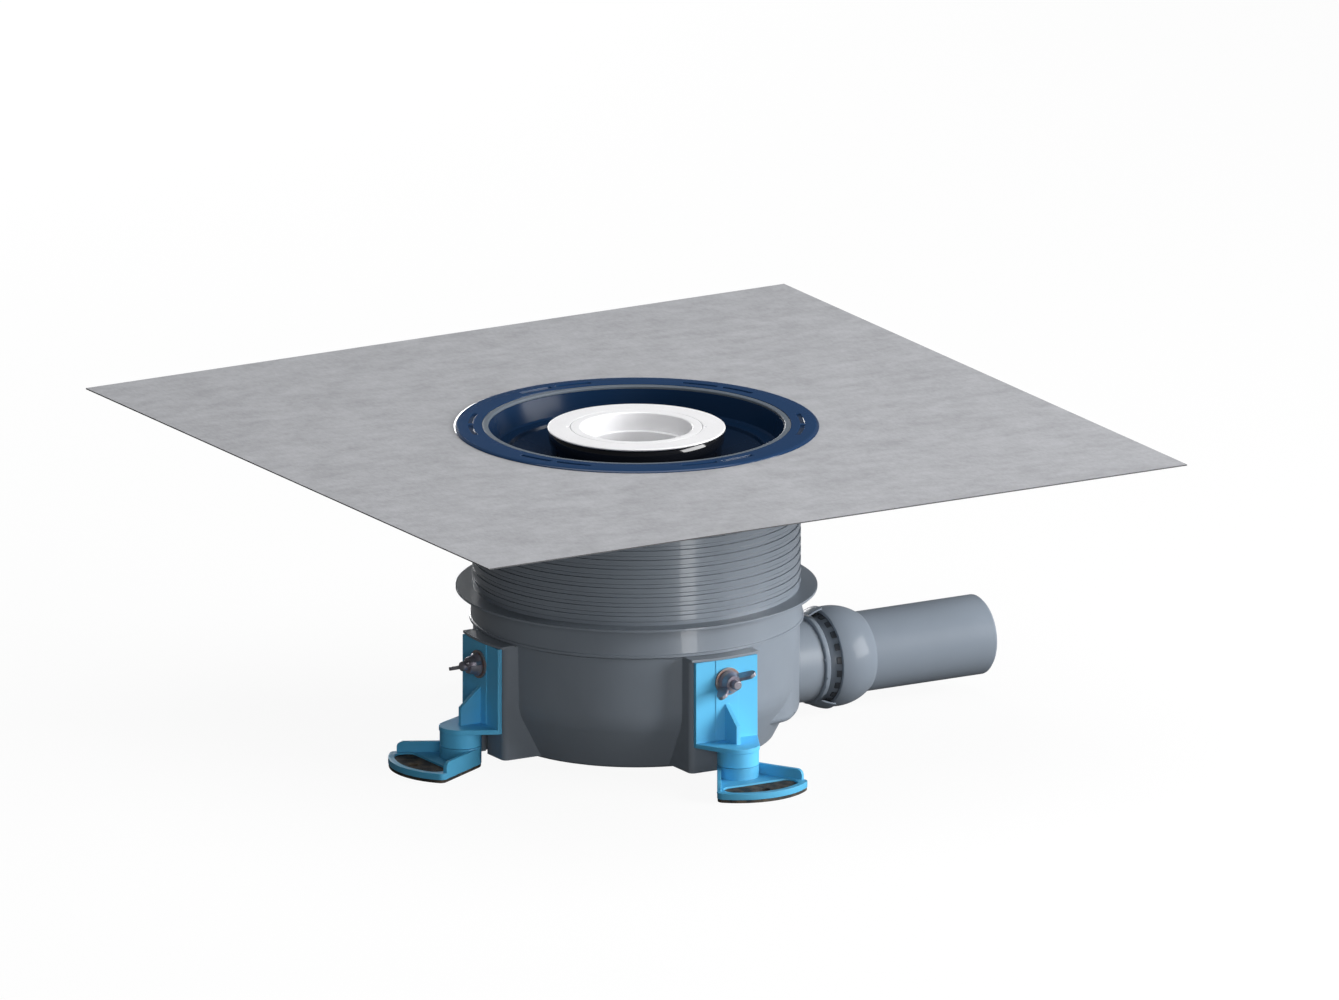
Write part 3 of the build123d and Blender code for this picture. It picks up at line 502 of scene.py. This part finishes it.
class DRAIN_OT_stage(bpy.types.Operator):
    """Sets up the floor, the lamps, the background and the camera"""

    bl_idname = "drain.stage"
    bl_label = "Stage"

    def execute(self, context):
        stage = context.scene.drain_stage
        context.scene.view_settings.view_transform = "Standard"
        self.floor(stage)
        self.world(context.scene)
        target = Vector(stage.target)
        for name, azimuth, elevation, away, size, power, unseen in LAMPS:
            bpy.ops.object.light_add(type="AREA")
            lamp = context.object
            lamp.name = lamp.data.name = name
            lamp.data.shape = "RECTANGLE"
            lamp.data.size, lamp.data.size_y = size
            lamp.data.energy = power
            lamp.visible_camera = False
            lamp.visible_glossy = unseen != "glossy"
            lamp.visible_diffuse = unseen != "diffuse"
            self.aim(lamp, target, math.radians(azimuth), math.radians(elevation), away)
        bpy.ops.object.camera_add()
        camera = context.object
        camera.name = "Camera"
        camera.data.type = "ORTHO"
        camera.data.ortho_scale = stage.width
        camera.data.clip_end = CAMERA_REACH
        self.aim(camera, target, stage.azimuth, stage.elevation, CAMERA_AWAY)
        context.scene.camera = camera
        return {"FINISHED"}

    def aim(self, thing, target, azimuth, elevation, away):
        """Stands a lamp or the camera off from the target, at two angles, and points it there."""
        back = Vector((
            math.sin(azimuth) * math.cos(elevation), -math.cos(azimuth) * math.cos(elevation),
            math.sin(elevation),
        ))
        thing.location = target + away * back
        thing.rotation_euler = (-back).to_track_quat("-Z", "Y").to_euler()

    def seen(self, shader):
        """1 for the camera's rays and those in glass, and a part of it for those in gloss."""
        camera, gloss, glass = (
            shader.node("LightPath", out=f"Is {ray} Ray")
            for ray in ("Camera", "Glossy", "Transmission")
        )
        return camera + glass + gloss * GLOSS_SHARE

    def floor(self, stage):
        """A pale floor that the camera sees as nearly white, with the drain's shadow."""
        bpy.ops.mesh.primitive_plane_add(size=FLOOR_SIDE, location=(0, 0, -FLOOR_BELOW))
        floor = bpy.context.object
        floor.name = "Floor"
        bpy.ops.object.transform_apply()
        shader = material("Pale floor")
        seen = self.seen(shader)
        colour = shader.mix(seen, shade(stage.floor, FLOOR_BOUNCE), shade(stage.floor))
        paint = shader.node("BsdfDiffuse", {}, {"Color": colour})
        glow = shader.node("Emission", {}, {"Color": WHITE, "Strength": 1.0})
        mixed = shader.node("MixShader", {}, {0: seen * FLOOR_GLOW, 1: paint, 2: glow})
        shader.node("OutputMaterial", {}, {"Surface": mixed})
        floor.data.materials.append(shader.owner)

    def world(self, scene):
        """A dim room whose walls the camera sees as white."""
        scene.world = bpy.data.worlds.new("Plain room")
        shader = Shader(scene.world)
        white = shader.node("Background", {}, {"Color": WHITE, "Strength": 1.0})
        room = shader.node("Background", {}, {"Color": WHITE, "Strength": ROOM_GLOW})
        mixed = shader.node("MixShader", {}, {0: self.seen(shader), 1: room, 2: white})
        shader.node("OutputWorld", {}, {"Surface": mixed})


class DRAIN_OT_sheet(bpy.types.Operator):
    """Finishes the square sealing sheet with its fleece"""

    bl_idname = "drain.sheet"
    bl_label = "Sealing sheet"

    def execute(self, context):
        piece = merged_copy("sealing_sheet", "sheet")
        piece = fitted(piece, self.fleece(context.scene.drain_colours.sheet), "sealing_sheet")
        return {"FINISHED"}

    def fleece(self, rgb):
        """Fleece with short strands in clouds of nap, and darker at its cut edges."""
        shader = material("Sheet fleece")
        strands = shader.noise(2.2 * MM, detail=5, roughness=0.7, stretch=(1, 0.45, 1))
        clouds = shader.noise(15 * MM, detail=5, roughness=0.65, stretch=(0.6, 1, 1))
        nap = shader.between(strands * 0.4 + clouds * 0.6, 0.36, 0.64)
        fleece = shader.mix(nap, shade(rgb, 0.86), shade(rgb, 1.12))
        upward = shader.along("Z", shader.node("NewGeometry", out="Normal"))
        flat = shader.between(upward * upward, 0.3, 0.6)
        return shader.surface(
            Base_Color=shader.mix(flat, shade(rgb, 0.3), fleece), Roughness=0.95,
            Specular_IOR_Level=0.1, Normal=shader.bump(strands, 0.12 * MM),
        )


class DRAIN_OT_ring(bpy.types.Operator):
    """Finishes the adapter ring with its well, and the grey lip on its inner edge"""

    bl_idname = "drain.ring"
    bl_label = "Adapter ring"

    def execute(self, context):
        colours, edge = context.scene.drain_colours, context.scene.drain_sizes.moulded_edge
        ring = turned("ring", RING, segments=360)
        pick(ring, "polygons", self.in_slot)
        bpy.ops.mesh.extrude_region_move(
            TRANSFORM_OT_translate={"value": (0, 0, -SLOT["depth"] * MM)}
        )
        bpy.ops.object.mode_set(mode="OBJECT")
        ring = rounded(joined(ring, self.funnel_ribs()), edge)
        # the ring's blue has a painted shade in its well: darker below the lip and darker still
        # at the well's floor
        blue = moulded(
            "Ring gloss blue", colours.ring, roughness=0.2, gloss=0.08, grain=FINE_GRAIN,
            coat=0.8, shade_depths=RING_PAINTED_SHADE, polish=RING_POLISH,
        )
        fitted(ring, blue, "adapter_ring")
        grey = moulded("Rim seal grey", colours.rim_seal, roughness=0.35, gloss=0.3)
        fitted(rounded(turned("rim_lip", RIM_LIP, segments=360), edge), grey, "rim_seal")
        return {"FINISHED"}

    def in_slot(self, place):
        """True for a face on the ring's top that lies in one of the short slots."""
        radius = math.hypot(place.x, place.y)
        pitch = 360 / SLOT["pairs"]
        turn = abs(math.degrees(math.atan2(place.y, place.x)) % pitch - pitch / 2)
        on_top = place.z > SLOT["above"] and SLOT["inner"] < radius < SLOT["outer"]
        return on_top and SLOT["from"] < turn < SLOT["to"]

    def funnel_ribs(self):
        """The ribs that stiffen the funnel round the trap."""
        rib = block("ribs", FUNNEL_RIB["size"], FUNNEL_RIB["middle"], FUNNEL_RIB["turn"])
        radius, _, height = FUNNEL_RIB["middle"]
        turn = math.radians(FUNNEL_RIB["turn"])
        out = Vector((math.cos(turn), math.sin(turn), 0))
        pick(rib, "vertices", lambda place: place.dot(out) > radius and place.z < height)
        bpy.ops.transform.translate(value=(0, 0, FUNNEL_RIB["foot_up"] * MM))
        bpy.ops.object.mode_set(mode="OBJECT")
        pick(rib, "vertices", lambda place: place.dot(out) < radius and place.z > height)
        shift = out.xy * FUNNEL_RIB["head_out"] * MM
        bpy.ops.transform.translate(value=(*shift, -FUNNEL_RIB["head_down"] * MM))
        bpy.ops.mesh.select_all(action="SELECT")
        bpy.ops.mesh.spin(
            steps=FUNNEL_RIB["count"] - 1, dupli=True,
            angle=math.radians(360 - 360 / FUNNEL_RIB["count"]), center=(0, 0, 0), axis=(0, 0, 1),
        )
        bpy.ops.object.mode_set(mode="OBJECT")
        return rib


class DRAIN_OT_body(bpy.types.Operator):
    """Finishes the riser and the bowl"""

    bl_idname = "drain.body"
    bl_label = "Riser and bowl"

    def execute(self, context):
        colours, sizes = context.scene.drain_colours, context.scene.drain_sizes
        edge = sizes.moulded_edge / 2
        grey = moulded(
            "Body grey", colours.body, roughness=0.34, gloss=0.28, coat=0.22, polish=RISER_POLISH
        )
        riser = turned("riser_body", (*RISER_LOW, *self.ribbed_wall()), segments=200)
        fitted(rounded(riser, edge), grey, "riser")
        dressed("bowl", "bowl_body", edge, grey)
        return {"FINISHED"}

    def ribbed_wall(self):
        """The riser's outline from its lowest rib to its top."""
        root, groove, top = RIBS["root"], RIBS["groove"], RIBS["top"]
        outline = []
        for index in range(RIBS["count"]):
            low = RIBS["start"] + index * RIBS["pitch"]
            high = low + RIBS["width"]
            under, over = low - RIBS["under"], high + RIBS["over"]
            outline += [
                (root, under), (groove, under), (groove, low), (top, low),
                (top, high), (groove, high), (groove, over), (root, over),
            ]
        return (*outline, (root, RISER_LOW[0][1]))


class DRAIN_OT_outlet(bpy.types.Operator):
    """Finishes the ball, its socket with the notched ring, and the pipe"""

    bl_idname = "drain.outlet"
    bl_label = "Ball joint and pipe"

    def execute(self, context):
        colours, edge = context.scene.drain_colours, context.scene.drain_sizes.moulded_edge
        grey = moulded(
            "Pipe grey", colours.pipe, roughness=0.4, gloss=0.08, coat=0.14, polish=SOCKET_POLISH
        )
        # painted shade: the ring's grey darkened to stand for the shade in the socket's mouth
        dark = moulded("Ball ring dark", colours.ball_ring, roughness=0.4, gloss=0.3)
        dressed("ball_spigot", "ball", edge, grey)
        dressed("outlet_pipe", "pipe", edge, grey)
        dressed("ball_ring", "notch_ring", edge, dark)
        return {"FINISHED"}


class DRAIN_OT_trap(bpy.types.Operator):
    """Finishes the trap: its black cup, white flange and immersion tube"""

    bl_idname = "drain.trap"
    bl_label = "Trap"

    def execute(self, context):
        colours, edge = context.scene.drain_colours, context.scene.drain_sizes.moulded_edge
        black = moulded(
            "Trap gloss black", colours.trap_black, roughness=0.08, gloss=0.5, grain=FINE_GRAIN
        )
        white = moulded("Trap white", colours.trap_white, roughness=0.3, gloss=0.3)
        cup = turned("cup", TRAP_CUP, closed=False)
        windows = [block("Window", *WINDOW, turn) for turn in WINDOW_TURNS]
        fitted(rounded(cut(cup, *windows), edge), black, "trap_cup")
        flange = turned("flange", TRAP_FLANGE)
        notches = block("Notches", *NOTCHES, NOTCHES_TURN)
        fitted(rounded(cut(flange, notches), edge), white, "trap_flange")
        fitted(rounded(turned("tube", DIP_TUBE), edge), white, "dip_tube")
        return {"FINISHED"}


class DRAIN_OT_brackets(bpy.types.Operator):
    """Finishes the three blue brackets"""

    bl_idname = "drain.brackets"
    bl_label = "Brackets"

    def execute(self, context):
        colours, edge = context.scene.drain_colours, context.scene.drain_sizes.moulded_edge
        blue = moulded("Bracket blue", colours.bracket, roughness=0.4, gloss=0.35)
        for side in SIDES:
            dressed(f"bracket_{side}", f"{side}_bracket_piece", edge, blue)
        return {"FINISHED"}


class DRAIN_OT_feet(bpy.types.Operator):
    """Finishes the three blue feet and their rubber"""

    bl_idname = "drain.feet"
    bl_label = "Feet"

    def execute(self, context):
        colours, edge = context.scene.drain_colours, context.scene.drain_sizes.moulded_edge
        # the brackets' blue darkened as painted shade on the feet
        shaded_blue = shade(colours.bracket, FOOT_PAINTED_SHADE)[:3]
        blue = moulded("Foot blue", shaded_blue, roughness=0.4, gloss=0.35)
        rubber = self.rubber(colours)
        for side in SIDES:
            for node, finish in ((f"foot_{side}", blue), (f"foot_pad_{side}", rubber)):
                dressed(node, node + "_piece", edge, finish)
        return {"FINISHED"}

    def rubber(self, colours):
        """Black rubber with dusty patches and a coarse grain."""
        shader = material("Foot rubber")
        grain = shader.noise(0.6 * MM)
        dusty = shader.between(shader.noise(7 * MM, detail=4, roughness=0.6), 0.44, 0.64)
        clean = shader.varied(grain, colours.rubber, 0.2)
        return shader.surface(
            Base_Color=shader.mix(dusty, clean, shade(colours.dust)),
            Roughness=shader.between(grain, *NOISE_SPAN, 0.6, 0.85), Specular_IOR_Level=0.25,
            Normal=shader.bump(grain, 0.05 * MM),
        )


class DRAIN_OT_fasteners(bpy.types.Operator):
    """Finishes the studs, washers and wing nuts"""

    bl_idname = "drain.fasteners"
    bl_label = "Fasteners"

    def execute(self, context):
        colours, edge = context.scene.drain_colours, context.scene.drain_sizes.metal_edge
        steel = self.metal("Cast steel", colours.steel, colours.steel_stain)
        washer = self.metal("Washer steel", colours.washer, colours.washer_stain)
        for side in SIDES:
            for kind, finish in (("stud", steel), ("washer", washer), ("wing_nut", steel)):
                node = f"{kind}_{side}"
                dressed(node, node + "_piece", edge, finish)
        return {"FINISHED"}

    def metal(self, name, rgb, stain):
        """Steel with cast grain and stains of another colour."""
        shader = material(name)
        spots = shader.noise(0.9 * MM, detail=4)
        stained = shader.between(shader.noise(5 * MM, detail=4, roughness=0.6), 0.42, 0.6)
        clean = shader.varied(spots, rgb, 0.15)
        return shader.surface(
            Base_Color=shader.mix(stained, clean, shade(stain)), Metallic=0.55,
            Roughness=shader.between(spots, *NOISE_SPAN, 0.28, 0.42),
            Normal=shader.bump(spots, 0.03 * MM),
        )


class DRAIN_OT_seals(bpy.types.Operator):
    """Finishes the seals inside the drain"""

    bl_idname = "drain.seals"
    bl_label = "Seals"

    def execute(self, context):
        colours, edge = context.scene.drain_colours, context.scene.drain_sizes.seal_edge
        black = moulded("Seal black", colours.seal, roughness=0.6, gloss=0.3)
        for node in ("riser_seal", "body_seal", "trap_seal", "insert_seal", "ball_seal"):
            dressed(node, node + "_piece", edge, black)
        return {"FINISHED"}


class DRAIN_PT_panel(bpy.types.Panel):
    """Sizes, colours and steps of the drain"""

    bl_idname = "DRAIN_PT_panel"
    bl_label = "Shower drain body"
    bl_space_type = "VIEW_3D"
    bl_region_type = "UI"
    bl_category = "Drain"

    def draw(self, context):
        for name in GROUPS:
            group = getattr(context.scene, name)
            box = self.layout.box()
            for key in group.__annotations__:
                box.prop(group, key)
        for step in STEPS:
            self.layout.operator(step.bl_idname)


GROUPS = {"drain_sizes": DrainSizes, "drain_colours": DrainColours, "drain_stage": DrainStage}
STEPS = (
    DRAIN_OT_stage, DRAIN_OT_sheet, DRAIN_OT_ring, DRAIN_OT_body, DRAIN_OT_outlet, DRAIN_OT_trap,
    DRAIN_OT_brackets, DRAIN_OT_feet, DRAIN_OT_fasteners, DRAIN_OT_seals,
)


def register():
    for group in (*GROUPS.values(), *STEPS, DRAIN_PT_panel):
        bpy.utils.register_class(group)
    for name, group in GROUPS.items():
        setattr(bpy.types.Scene, name, bpy.props.PointerProperty(type=group))


def unregister():
    for name in GROUPS:
        delattr(bpy.types.Scene, name)
    for group in (DRAIN_PT_panel, *reversed(STEPS), *reversed(GROUPS.values())):
        bpy.utils.unregister_class(group)


def main():
    register()
    for step in STEPS:
        getattr(bpy.ops.drain, step.bl_idname.removeprefix("drain."))()


if __name__ == "__main__":
    main()
